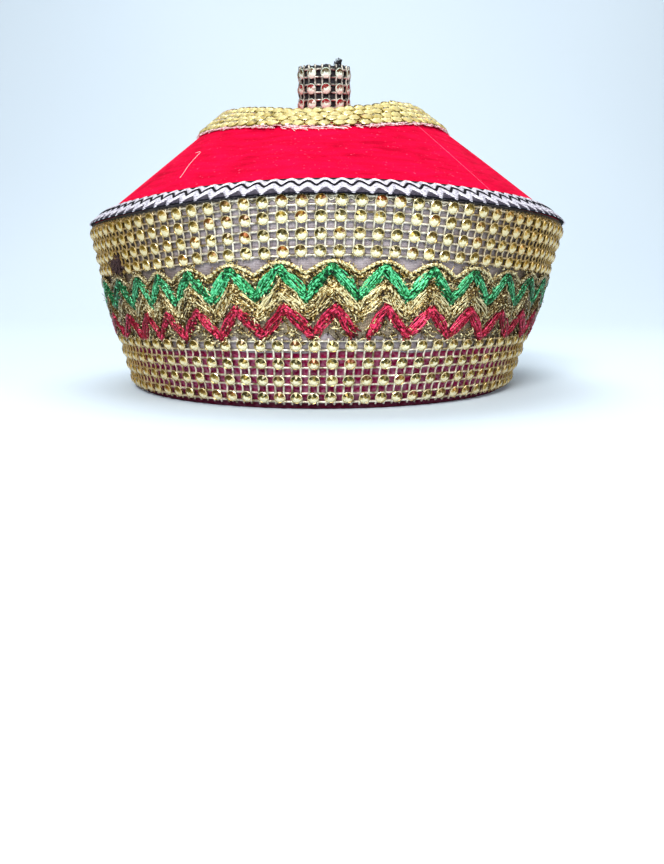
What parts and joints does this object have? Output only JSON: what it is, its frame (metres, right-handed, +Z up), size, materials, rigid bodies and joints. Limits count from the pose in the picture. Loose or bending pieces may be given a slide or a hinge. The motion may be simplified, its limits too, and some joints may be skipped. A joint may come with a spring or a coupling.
{
  "type": "chief cap",
  "caption": "Flared velvet ceremonial cap with rhinestone mesh bands, zigzag metallic lace, a braided rim, a flat tip and a short stone-wrapped finial.",
  "frame": {"origin": "centre of the cap's bounding box in plan, on the plane of its hem", "axes": "+Z up out of the tip, -Y out of the cap's front, +X to the left of the wearer"},
  "size_m": [0.2145, 0.2242, 0.1439],
  "materials": {
    "velvet": "red pile velvet",
    "ribbon": "plain grey-mauve woven ribbon",
    "mesh": "gold-coated plastic mesh set with pale yellow stones",
    "braid": "silver satin zigzags on black braid",
    "gold_lace": "gold metallic thread",
    "green_lace": "green metallic thread",
    "red_lace": "red metallic thread",
    "black_cloth": "plain black cloth"
  },
  "bodies": {
    "root": {"wall_velvet": "velvet", "wall_ribbon": "ribbon", "mesh_lower": "mesh", "mesh_upper": "mesh", "shoulder_velvet": "velvet", "rim_braid": "braid", "tip_velvet": "velvet", "tip_mesh": "mesh", "lace_gold_cord": "gold_lace", "lace_green_zigzag": "green_lace", "lace_gold_zigzag": "gold_lace", "lace_red_zigzag": "red_lace", "finial_core": "black_cloth", "finial_mesh": "mesh"}
  },
  "joints": []
}
